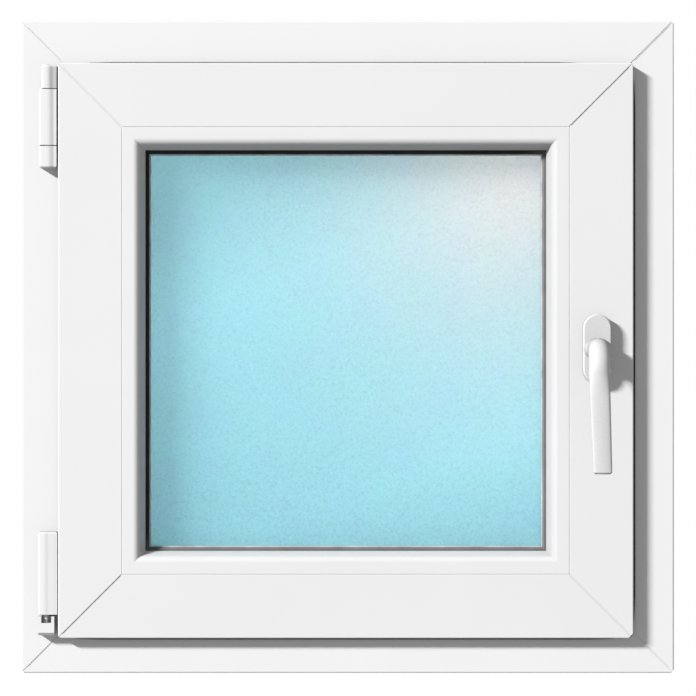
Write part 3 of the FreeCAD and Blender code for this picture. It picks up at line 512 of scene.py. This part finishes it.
def add_tube(shape, rings):
    """Skins a tube through rings of the same number of points, with both ends closed."""
    rows = add_points(shape, rings)
    for near, far in zip(rows, rows[1:]):
        skin(shape, near, far)
    shape.faces.new(reversed(rows[0]))
    shape.faces.new(rows[-1])


def piece(name, shape, material, body):
    """Puts a finished shape in the scene on a body, with its finish."""
    bmesh.ops.recalc_face_normals(shape, faces=shape.faces)
    mesh = bpy.data.meshes.new(name)
    shape.to_mesh(mesh)
    shape.free()
    mesh.materials.append(materials[material])
    item = bpy.data.objects.new(name, mesh)
    bpy.context.scene.collection.objects.link(item)
    smooth_curves(mesh)
    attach(item, body)
    return item


# Strips along the mitres. The section is in shares of the width and the rise, the foot is how far the strip
# starts behind the face, and the swells say how full it is at each share of its way.
STRIP_SECTION = ((-0.5, 0), (-0.3, 1), (0.3, 1), (0.5, 0))
WELD_EDGE = {
    "width": 0.00034, "foot": 0.00028, "rise": 0.0002,
    "swells": ((0, 0.1), (0.04, 1), (0.5, 0.85), (0.96, 1), (1, 0.1)),
}
WELD_SEAM_SHADOW = {
    "width": 0.0006, "foot": 0.00045, "rise": 0.00022,
    "swells": ((0, 0.2), (0.02, 1), (0.5, 0.8), (0.98, 1), (1, 0.2)),
}

# How far the strips lie beside the mitre's line, and where on it they start and end, from the corner.
EDGE_OFFSET = 0.00072
SEAM_SHADOW_OFFSET = 0.00012
FRAME_MITRE_END = 0.0505
SASH_MITRE_END = 0.0815
EDGE_START = 0.006
FRAME_SEAM_SHADOW_START = 0.003
SASH_SEAM_SHADOW_START = 0.005


def mitre_strip(shape, low, high, mitre, aside, offset, start, end, style):
    """A slim strip beside a mitre, from the start to the end of its way inward from the corner."""
    across, up = mitre
    corner = Vector((low.x if across > 0 else high.x, 0, low.z if up > 0 else high.z))
    along = Vector((across, 0, up)).normalized()
    aside = Vector(aside).normalized()
    rings = []
    for share, swell in style["swells"]:
        middle = corner + along * (start + (end - start) * share) + aside * offset
        ring = []
        for part, out in STRIP_SECTION:
            point = middle + aside * part * style["width"] * swell
            point.y = low.y + style["foot"] - style["rise"] * out * swell
            ring.append(point)
        rings.append(ring)
    add_tube(shape, rings)


def weld_edges(name, low, high, end):
    """The fine raised edges that trimming leaves on both sides of each corner's weld groove."""
    shape = bmesh.new()
    for across, up in ((1, 1), (-1, 1), (1, -1), (-1, -1)):
        for offset in (-EDGE_OFFSET, EDGE_OFFSET):
            mitre_strip(shape, low, high, (across, up), (up, 0, -across), offset, EDGE_START, end, WELD_EDGE)
    piece(name, shape, "weld", "window")


def weld_seam_shadows(name, low, high, start, end):
    """Painted shadow: a dark hairline at the bottom of the weld grooves that rise to the right, across the
    light.
    """
    shape = bmesh.new()
    for mitre in ((1, 1), (-1, -1)):
        mitre_strip(shape, low, high, mitre, (-1, 0, 1), SEAM_SHADOW_OFFSET, start, end, WELD_SEAM_SHADOW)
    piece(name, shape, "seam_shadow", "window")


weld_edges("frame_weld_edges", FRAME_LOW, FRAME_HIGH, FRAME_MITRE_END)
weld_edges("sash_weld_edges", SASH_LOW, SASH_HIGH, SASH_MITRE_END)
weld_seam_shadows("frame_weld_seam_shadows", FRAME_LOW, FRAME_HIGH, FRAME_SEAM_SHADOW_START, FRAME_MITRE_END)
weld_seam_shadows("sash_weld_seam_shadows", SASH_LOW, SASH_HIGH, SASH_SEAM_SHADOW_START, SASH_MITRE_END)


# Lips of the sash's seal, whose dark rubber also serves as painted shade for the gap beside the sash. Their
# back and front lie this far before the frame's face, and their ends taper.
SEAL_BACK = 0.0002
SEAL_FRONT = 0.0028
SEAL_TAPER = 0.018
SEAL_ROOT = -0.0006
SEAL_SECTION = (
    (SEAL_ROOT, 0), (0.45, 0.04), (0.85, 0.25), (1, 0.5), (0.85, 0.75), (0.45, 0.96), (SEAL_ROOT, 1))
LOCK_LIP_INSET = 0.003
BOTTOM_LIP_INSETS = (0.003, 0.004)
TOP_LIP_INSETS = (0.012, 0.036)


def seal_lip_and_gap_shade(name, start, end, outward, reach):
    """A soft lip of the sash's seal that peeps out beside the sash along one edge; it is partly real seal and
    partly painted shade for the gap there.
    """
    shape = bmesh.new()
    back, front = FRAME_FACE - SEAL_BACK, FRAME_FACE - SEAL_FRONT
    start, end, outward = Vector(start), Vector(end), Vector(outward)
    taper = SEAL_TAPER / (end - start).length
    swells = ((0, 0.05), (taper, 0.75), (2 * taper, 1), (1 - 2 * taper, 1), (1 - taper, 0.75), (1, 0.05))
    rings = []
    for share, swell in swells:
        middle = start + (end - start) * share
        ring = []
        for out, deep in SEAL_SECTION:
            offset = out * reach * swell if out > 0 else out
            point = middle + outward * offset
            point.y = front + (back - front) * deep
            ring.append(point)
        rings.append(ring)
    add_tube(shape, rings)
    piece(name, shape, "seal", "window")


seal_lip_and_gap_shade("seal_lip_gap_shade_lock_side", (SASH_HIGH.x, 0, SASH_LOW.z + LOCK_LIP_INSET),
         (SASH_HIGH.x, 0, SASH_HIGH.z - LOCK_LIP_INSET), outward=(1, 0, 0), reach=0.0024)
seal_lip_and_gap_shade("seal_lip_gap_shade_bottom", (SASH_LOW.x + BOTTOM_LIP_INSETS[0], 0, SASH_LOW.z),
         (SASH_HIGH.x - BOTTOM_LIP_INSETS[1], 0, SASH_LOW.z), outward=(0, 0, -1), reach=0.0020)
seal_lip_and_gap_shade("seal_lip_gap_shade_top", (SASH_LOW.x + TOP_LIP_INSETS[0], 0, SASH_HIGH.z),
         (SASH_HIGH.x - TOP_LIP_INSETS[1], 0, SASH_HIGH.z), outward=(0, 0, 1), reach=0.0016)


# The gasket's lip, whose pale tone is a painted highlight along the gasket's edge: how far it reaches onto
# the pane, its height, and how far it sinks into gasket and pane.
GASKET_REACH = 0.0009
GASKET_RISE = 0.0005
GASKET_SINK = 0.0002
PANE_SINK = 0.0001
GASKET_SECTION = (
    (-GASKET_SINK, PANE_SINK), (-GASKET_SINK, -GASKET_RISE), (GASKET_REACH * 0.5, -GASKET_RISE * 0.9),
    (GASKET_REACH, -GASKET_RISE * 0.3), (GASKET_REACH, PANE_SINK))


def gasket_lip():
    """The pale lip of the room-side gasket that lies on the pane, round the daylight opening; its pale tone
    is a painted highlight.
    """
    spots = [vertex.co for vertex in nodes["glazing_gasket_inside"].data.vertices]
    low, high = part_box("glazing_gasket_inside")
    middle = (low + high) / 2
    left = max(spot.x for spot in spots if spot.x < middle.x)
    right = min(spot.x for spot in spots if spot.x > middle.x)
    bottom = max(spot.z for spot in spots if spot.z < middle.z)
    top = min(spot.z for spot in spots if spot.z > middle.z)
    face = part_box("inner_pane")[0].y
    corners = ((left, bottom, 1, 1), (right, bottom, -1, 1), (right, top, -1, -1), (left, top, 1, -1))
    shape = bmesh.new()
    rows = add_points(shape, [
        [Vector((x + to_right * out, face + deep, z + upward * out)) for x, z, to_right, upward in corners]
        for out, deep in GASKET_SECTION])
    for near, far in zip(rows, rows[1:] + rows[:1]):
        skin(shape, near, far)
    piece("gasket_lip", shape, "lip", "window")


gasket_lip()


# Hinge covers. An outline's points are in millimetres: across from the hinge axis, and back from the foremost
# face. Bevels are in millimetres too, and so are faces and backs, which are distances from the axis.

PER_METRE = 1000
PIN_LOW, PIN_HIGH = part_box("top_hinge_pin")
AXIS_X, AXIS_Y = (PIN_LOW.x + PIN_HIGH.x) / 2, (PIN_LOW.y + PIN_HIGH.y) / 2
CORNER_STEPS = 6

# For each millimetre of a bevel: the way from the cover's end in metres, and the inset that remains there.
BEVEL_STEPS = ((0.0003, 0.6), (0.0007, 0.2), (0.0012, 0))


def round_corner(left, radius, sink):
    """The outline's rounded front corner on the left. The face that it meets lies back by the sink."""
    turns = [math.radians(90 * step / CORNER_STEPS) for step in range(CORNER_STEPS + 1)]
    return [(left + radius * (1 - math.cos(turn)), sink + radius * (1 - math.sin(turn))) for turn in turns]


def extrude(shape, outline, levels):
    """Skins an outline upwards. Each level is a height, and how far the outline shrinks to its back there."""
    back = max(y for x, y in outline)
    middle = (min(x for x, y in outline) + max(x for x, y in outline)) / 2
    half = middle - min(x for x, y in outline)
    deep = back - min(y for x, y in outline)
    rings = []
    for level, inset in levels:
        across, front = 1 - inset / (half * PER_METRE), 1 - inset / (deep * PER_METRE)
        rings.append([Vector((middle + (x - middle) * across, back + (y - back) * front, level))
                      for x, y in outline])
    add_tube(shape, rings)


def hinge_cover(name, node, points, face, back, low_bevel, high_bevel, lower=0.0, upper=0.0, leaf=None):
    """A moulded cover with a soft front, in place of the plainer solid, with the leaf that it may carry.

    Its lower and upper ends may lie a little lower than the solid's, in metres.
    """
    low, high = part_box(node)
    low.z -= lower
    high.z -= upper
    outline = [(AXIS_X + x / PER_METRE, AXIS_Y + (y - face) / PER_METRE) for x, y in points]
    rear = AXIS_Y + back / PER_METRE
    outline = [(outline[0][0], rear)] + outline + [(outline[-1][0], rear)]
    levels = [(low.z, low_bevel)]
    levels += [(low.z + low_bevel * way, low_bevel * inset) for way, inset in BEVEL_STEPS]
    levels += [(high.z - high_bevel * way, high_bevel * inset) for way, inset in reversed(BEVEL_STEPS)]
    levels.append((high.z, high_bevel))
    shape = bmesh.new()
    extrude(shape, outline, levels)
    if leaf:
        plate, bottom, top = leaf
        extrude(shape, plate, [(bottom, 0), (top, 0)])
    cover = piece(name, shape, "cover", "window")
    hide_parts(node)


LEAF_THICKNESS = 0.0024


def leaf_plate(node, turned=0.0):
    """The outline of a sash hinge's hidden leaf behind the flange, which may turn back along the rebate."""
    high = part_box(node)[1]
    front = high.y - (turned or LEAF_THICKNESS)
    back = front + LEAF_THICKNESS
    if turned:
        return [(AXIS_X, front), (high.x, front), (high.x, high.y), (high.x - LEAF_THICKNESS, high.y),
                (high.x - LEAF_THICKNESS, back), (AXIS_X, back)]
    return [(AXIS_X, front), (high.x, front), (high.x, back), (AXIS_X, back)]


EDGE_X = (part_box("top_hinge_cap")[1].x - AXIS_X) * PER_METRE
CAP_FACE = 6.2
CAP_BACK = 7.5
CAP_FRONT = round_corner(left=-6.2, radius=1.6, sink=0.06) + [
    (-3.6, 0.02), (-2.0, 0), (0.6, 0), (1.8, 0.03), (2.7, 0.1), (3.6, 0.22), (4.5, 0.42), (5.4, 0.72),
    (6.3, 1.04), (7.1, 1.26), (7.8, 1.36), (8.6, 1.38), (EDGE_X - 0.5, 1.4), (EDGE_X - 0.15, 1.5),
    (EDGE_X, 1.85)]
STAY_FACE = 5.6
STAY_LEAF_CLEARANCE = 0.2
STAY_LEAF_HEIGHT = 0.014
STAY_FRONT = round_corner(left=-3.9, radius=1.6, sink=0.04) + [
    (-1.6, 0), (0.4, 0), (1.4, 0.06), (2.3, 0.18), (3.2, 0.4), (4.1, 0.76), (5.0, 1.24), (5.9, 1.72),
    (6.8, 2.1), (7.7, 2.4), (8.6, 2.66), (EDGE_X - 0.5, 2.9), (EDGE_X, 3.3)]
SLEEVE_FACE = 6.2
SLEEVE_BACK = 6.2
SLEEVE_LEAF_RETURN = 0.018
SLEEVE_FRONT = round_corner(left=-7.0, radius=1.5, sink=0.1) + [
    (-3.6, 0.03), (-2.4, 0), (-1.2, 0.01), (-0.3, 0.06), (0.6, 0.18), (1.5, 0.34), (2.4, 0.46), (3.3, 0.5),
    (5.5, 0.62), (7.4, 0.78), (8.2, 0.8), (8.7, 0.92), (9.2, 0.95), (EDGE_X, 0.97), (EDGE_X + 0.5, 1.02),
    (EDGE_X + 0.7, 1.3)]
STAY_LOW, STAY_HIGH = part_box("top_hinge_stay_arm")
SLEEVE_LOW, SLEEVE_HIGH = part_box("bottom_hinge_sleeve")

hinge_cover("hinge_cap_cover", "top_hinge_cap", CAP_FRONT, CAP_FACE, CAP_BACK,
            low_bevel=0.2, high_bevel=0.2, lower=0.0011, upper=0.0018)
hinge_cover("hinge_bearing_cover", "top_hinge_bearing", CAP_FRONT, CAP_FACE, CAP_BACK,
            low_bevel=1.8, high_bevel=0.2, lower=-0.0002, upper=0.0011)
hinge_cover("stay_knuckle_cover", "top_hinge_stay_arm", STAY_FRONT, STAY_FACE,
            (STAY_HIGH.y - AXIS_Y) * PER_METRE - STAY_LEAF_CLEARANCE,
            low_bevel=0.2, high_bevel=1.5, lower=0.0018, upper=0.0005,
            leaf=(leaf_plate("top_hinge_stay_arm"), STAY_LOW.z, STAY_LOW.z + STAY_LEAF_HEIGHT))
hinge_cover("corner_sleeve_cover", "bottom_hinge_sleeve", SLEEVE_FRONT, SLEEVE_FACE, SLEEVE_BACK,
            low_bevel=0.3, high_bevel=1.2,
            leaf=(leaf_plate("bottom_hinge_sleeve", SLEEVE_LEAF_RETURN), SLEEVE_LOW.z, SLEEVE_HIGH.z))


# Stage: a white floor and surroundings. Each has a strength that the camera sees, and one that lights the
# window.

FLOOR_HALF = 8
FLOOR_LEVEL = -0.0005
FLOOR_SEEN = 1.0
FLOOR_LIT = 0.32
SKY_SEEN = 1.0
SKY_LIT = 0.25


def floor_material(name):
    """Plain white that reads as paper to the camera and gives only soft light to the object."""
    material = bpy.data.materials.new(name)
    material.use_nodes = True
    tree = material.node_tree
    tree.nodes.clear()
    path = add(tree, "ShaderNodeLightPath")
    glow = add(tree, "ShaderNodeEmission")
    output = add(tree, "ShaderNodeOutputMaterial")
    link(tree, remap(tree, path.outputs["Is Camera Ray"], FLOOR_LIT, FLOOR_SEEN), glow.inputs["Strength"])
    link(tree, glow.outputs["Emission"], output.inputs["Surface"])
    return material


def floor_plane(name, half, level):
    """A square floor of twice the half size, at a height."""
    mesh = bpy.data.meshes.new(name)
    corners = [(-half, -half, level), (half, -half, level), (half, half, level), (-half, half, level)]
    mesh.from_pydata(corners, [], [(0, 1, 2, 3)])
    mesh.materials.append(floor_material(name))
    plane = bpy.data.objects.new(name, mesh)
    bpy.context.scene.collection.objects.link(plane)


def white_background(tree, strength):
    """A plain white background of some strength."""
    node = add(tree, "ShaderNodeBackground")
    node.inputs["Color"].default_value = (1, 1, 1, 1)
    node.inputs["Strength"].default_value = strength
    return node.outputs["Background"]


def white_surroundings():
    """White to the camera, and a soft light to the object."""
    world = bpy.data.worlds.new("studio")
    bpy.context.scene.world = world
    world.use_nodes = True
    tree = world.node_tree
    tree.nodes.clear()
    path = add(tree, "ShaderNodeLightPath")
    both = add(tree, "ShaderNodeMixShader")
    surface = add(tree, "ShaderNodeOutputWorld")
    link(tree, path.outputs["Is Camera Ray"], both.inputs["Fac"])
    link(tree, white_background(tree, SKY_LIT), both.inputs[1])
    link(tree, white_background(tree, SKY_SEEN), both.inputs[2])
    link(tree, both.outputs["Shader"], surface.inputs["Surface"])


floor_plane("studio_floor", FLOOR_HALF, FLOOR_LEVEL)
white_surroundings()


# Lights: a key from the left, the daylight behind the panes, and a weak fill outdoors. Sizes are width and
# height, powers are in watts.

LIGHTS_TARGET = (0, -0.04, 0.3)
KEY_PLACE = (-19.3, -15.04, 12.5)
KEY_SIZE = (5.5, 1.0)
KEY_SIZE_FOR_PANES = (13, 10)
KEY_POWER = 10000
KEY_BOUNCES = 0
DAYLIGHT_PLACE = (0.3, 3.0, 0.5)
DAYLIGHT_SIZE = (5, 4)
DAYLIGHT_POWER = 215
OUTDOOR_PLACE = (2.2, 3.2, 1.8)
OUTDOOR_SIZE = (2.5, 2.5)
OUTDOOR_POWER = 100
OUTDOOR_BOUNCES = 8
PANES = ["inner_pane", "outer_pane"]


def link_group(name, members, state="INCLUDE"):
    """A collection for light linking that takes in or leaves out its members."""
    group = bpy.data.collections.new(name)
    for member in members:
        group.objects.link(nodes[member])
    for entry in group.collection_objects:
        entry.light_linking.link_state = state
    return group


def area_light(name, place, size, power, bounces, receivers):
    """A rectangular light that faces the window and lights only its receivers."""
    data = bpy.data.lights.new(name, "AREA")
    data.shape = "RECTANGLE"
    data.size, data.size_y = size
    data.energy = power
    data.cycles.max_bounces = bounces
    lamp = bpy.data.objects.new(name, data)
    lamp.location = place
    facing = Vector(LIGHTS_TARGET) - Vector(place)
    lamp.rotation_euler = facing.to_track_quat("-Z", "Y").to_euler()
    lamp.light_linking.receiver_collection = receivers
    bpy.context.scene.collection.objects.link(lamp)
    return lamp


only_lock_jamb = link_group("lock_jamb_only", ["frame_jamb_right"])
only_panes = link_group("panes_only", PANES)
all_but_panes = link_group("all_but_panes", PANES, "EXCLUDE")
neither_jamb_nor_panes = link_group("neither_lock_jamb_nor_panes", ["frame_jamb_right"] + PANES, "EXCLUDE")
no_lever_shadow = link_group("no_lever_shadow", ["handle_lever"], "EXCLUDE")
no_frame_shadow = link_group("no_frame_shadow", [name for name in nodes if name not in PANES], "EXCLUDE")

area_light("key_left", KEY_PLACE, KEY_SIZE, KEY_POWER, KEY_BOUNCES, neither_jamb_nor_panes)
jamb_key = area_light("key_left_for_jamb", KEY_PLACE, KEY_SIZE, KEY_POWER, KEY_BOUNCES, only_lock_jamb)
jamb_key.light_linking.blocker_collection = no_lever_shadow
area_light("key_left_for_panes", KEY_PLACE, KEY_SIZE_FOR_PANES, KEY_POWER, KEY_BOUNCES, only_panes)
daylight = area_light("daylight_behind", DAYLIGHT_PLACE, DAYLIGHT_SIZE, DAYLIGHT_POWER, OUTDOOR_BOUNCES,
                      only_panes)
daylight.light_linking.blocker_collection = no_frame_shadow
area_light("outdoor_fill", OUTDOOR_PLACE, OUTDOOR_SIZE, OUTDOOR_POWER, OUTDOOR_BOUNCES, all_but_panes)


# Camera, square to the window as in the photo. The sensor and the lens are in millimetres.

SENSOR_WIDTH = 36
LENS = 168.75
CAMERA_PLACE = (0.00023, -3.035, 0.29885)

camera_data = bpy.data.cameras.new("camera")
camera_data.sensor_width = SENSOR_WIDTH
camera_data.lens = LENS
camera = bpy.data.objects.new("camera", camera_data)
camera.location = CAMERA_PLACE
camera.rotation_euler = (math.pi / 2, 0, 0)
bpy.context.scene.collection.objects.link(camera)
bpy.context.scene.camera = camera
bpy.context.scene.view_settings.view_transform = "Standard"
